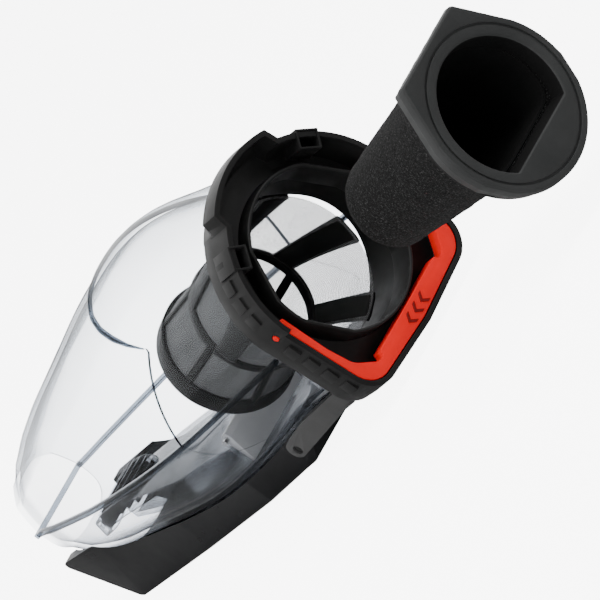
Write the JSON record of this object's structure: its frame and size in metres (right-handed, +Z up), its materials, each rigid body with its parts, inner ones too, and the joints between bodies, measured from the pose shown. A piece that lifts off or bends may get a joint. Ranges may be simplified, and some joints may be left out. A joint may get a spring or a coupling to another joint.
{
  "type": "handheld vacuum",
  "caption": "Clear dust container of a handheld vacuum, with floor shoe, filter cage, pull bail, and a fabric filter sleeve drawn out at the rear.",
  "frame": {"origin": "centre of the bounding box's bottom face, on the plane of the floor shoe's underside", "axes": "+Z up, +Y rearwards along the filter axis, from the nose to the sleeve's flange, +X across"},
  "size_m": [0.114, 0.434, 0.1175],
  "materials": {
    "clear_plastic": "polished clear",
    "black_satin": "satin",
    "black_shoe": "satin",
    "gloss_flap": "glossy",
    "black_rubber": "matte",
    "pin_steel": "satin",
    "filter_mesh": "fine mesh",
    "red_bail": "satin",
    "sleeve_fabric": "speckled felt",
    "sleeve_liner": "matte"
  },
  "bodies": {
    "bowl": {"dust_bowl": "clear_plastic", "lower_tray": "clear_plastic", "inlet_duct": "clear_plastic", "bowl_seal": "black_rubber", "flap_pin": "pin_steel", "rear_bracket": "black_satin", "bracket_screw_right": "pin_steel", "bracket_screw_left": "pin_steel", "hinge_pin_right": "pin_steel", "hinge_pin_left": "pin_steel"},
    "flap": {"inlet_flap": "gloss_flap", "flap_seal": "black_rubber"},
    "shoe": {"nozzle_shoe": "black_shoe", "nozzle_lip": "black_rubber"},
    "cage": {"cage_collar": "black_satin", "cage_funnel": "black_satin", "middle_frame": "black_satin", "basket_cup": "black_satin", "upper_mesh": "filter_mesh", "lower_mesh": "filter_mesh", "bail_pin_right": "red_bail", "bail_pin_left": "red_bail"},
    "bail": {"pull_bail": "red_bail", "bail_mark": "red_bail"},
    "sleeve": {"filter_sleeve": "sleeve_fabric", "sleeve_core": "sleeve_liner", "filter_flange": "black_satin", "flange_seal": "black_rubber"}
  },
  "joints": [
    {"name": "cage_slide", "type": "slide", "parent": "bowl", "child": "cage", "axis": [0, 1, 0], "range_m": [0, 0.13]},
    {"name": "sleeve_slide", "type": "slide", "parent": "cage", "child": "sleeve", "axis": [0, 1, 0], "range_m": [-0.1477, 0]},
    {"name": "bail_swing", "type": "hinge", "parent": "cage", "child": "bail", "pos_m": [0, 0.0534, 0.057], "axis": [1, 0, 0], "range_deg": [0, 95]},
    {"name": "flap_swing", "type": "hinge", "parent": "bowl", "child": "flap", "pos_m": [0, -0.068, 0.0285], "axis": [1, 0, 0], "range_deg": [0, 60]},
    {"name": "shoe_swing", "type": "hinge", "parent": "bowl", "child": "shoe", "pos_m": [0, -0.0195, 0.01], "axis": [1, 0, 0], "range_deg": [0, 25]}
  ]
}
